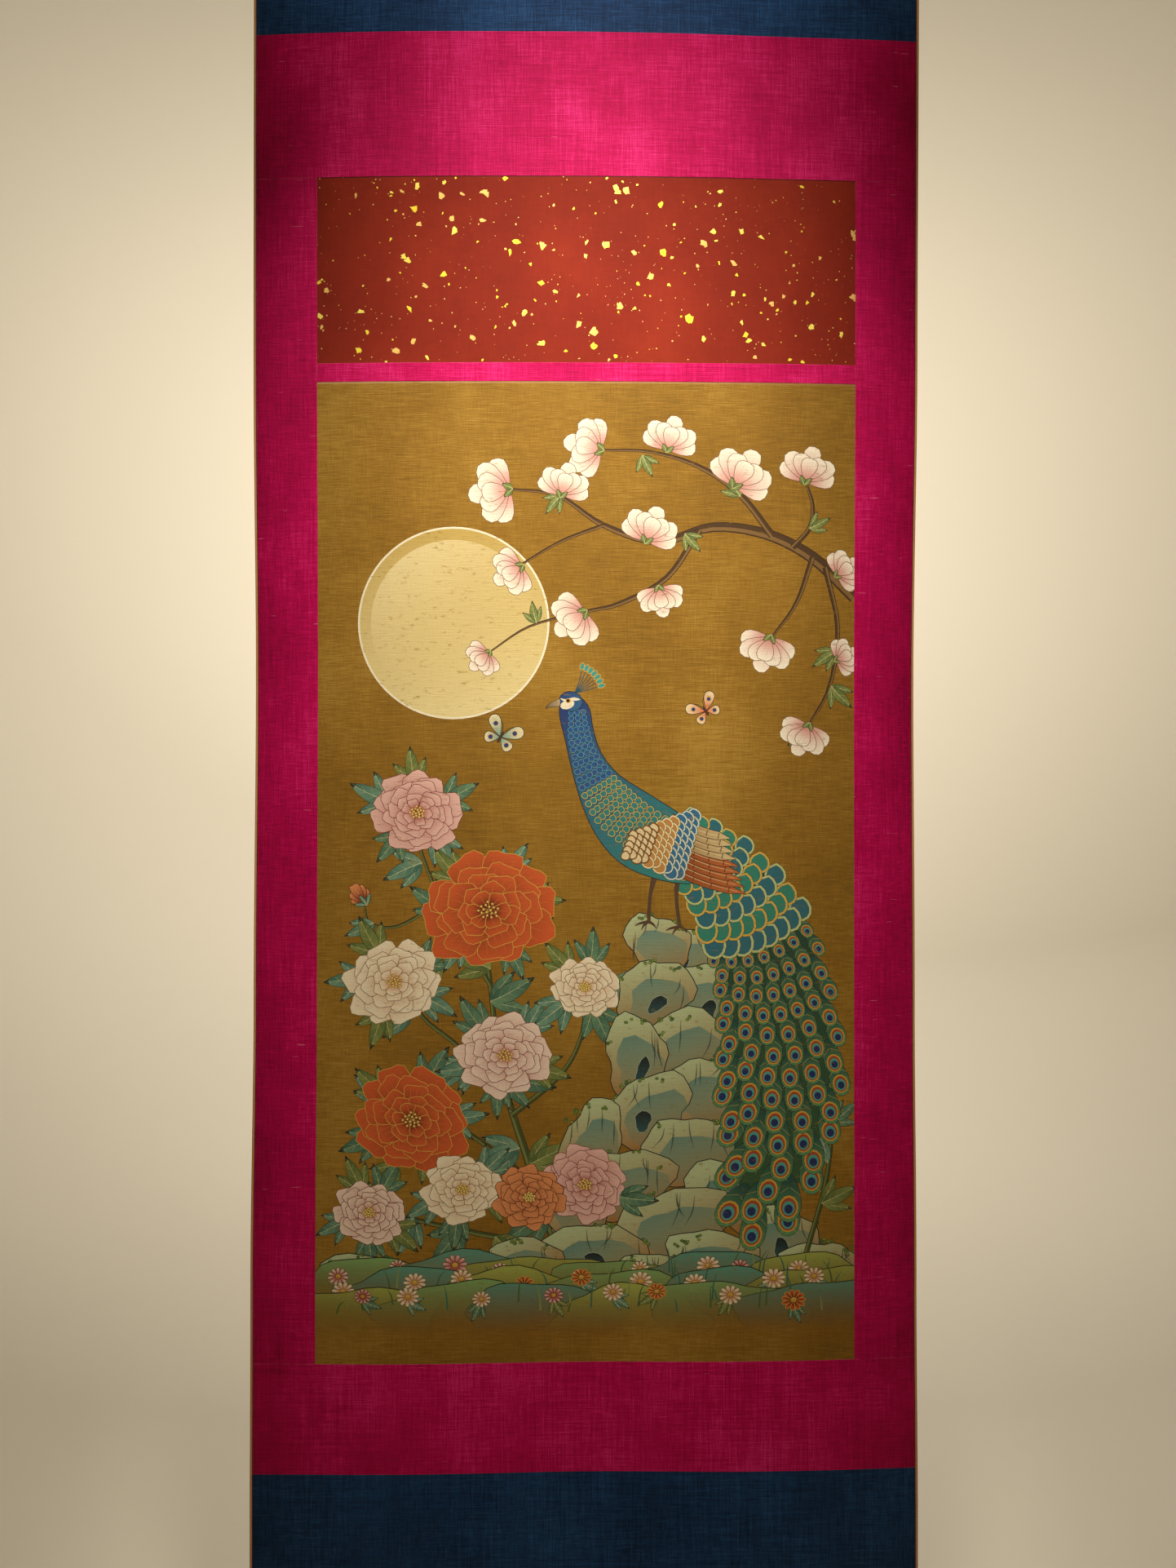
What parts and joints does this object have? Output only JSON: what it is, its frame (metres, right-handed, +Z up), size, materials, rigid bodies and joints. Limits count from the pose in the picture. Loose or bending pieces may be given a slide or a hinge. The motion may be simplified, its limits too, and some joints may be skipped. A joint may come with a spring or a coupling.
{
  "type": "hanging scroll painting",
  "caption": "Tall painted silk hanging: a picture panel and a gold-flecked inscription panel set in crimson silk borders, with indigo silk ends and narrow edge binding.",
  "frame": {"origin": "middle of the top edge, on the turned hem that the scroll hangs from", "axes": "+Z up, the scroll hangs down to -Z; the painted front faces -Y and the wall is at +Y; +X to the viewer's right"},
  "size_m": [0.822, 0.0341, 2.4644],
  "materials": {
    "indigo_silk": "plain-woven indigo silk, matt with a faint sheen",
    "magenta_silk": "slubby plain-woven crimson silk with a soft sheen",
    "flecked_paper": "matt brick-red paper flecked with torn gold leaf",
    "painted_silk": "aged olive-brown silk painted in mineral colours",
    "edging_silk": "tan silk binding, rounded over the edge"
  },
  "bodies": {
    "root": {"heaven_panel": "indigo_silk", "upper_band": "magenta_silk", "inscription_panel": "flecked_paper", "middle_band": "magenta_silk", "picture_panel": "painted_silk", "left_border": "magenta_silk", "right_border": "magenta_silk", "lower_band": "magenta_silk", "earth_panel": "indigo_silk", "left_edging": "edging_silk", "right_edging": "edging_silk"}
  },
  "joints": []
}
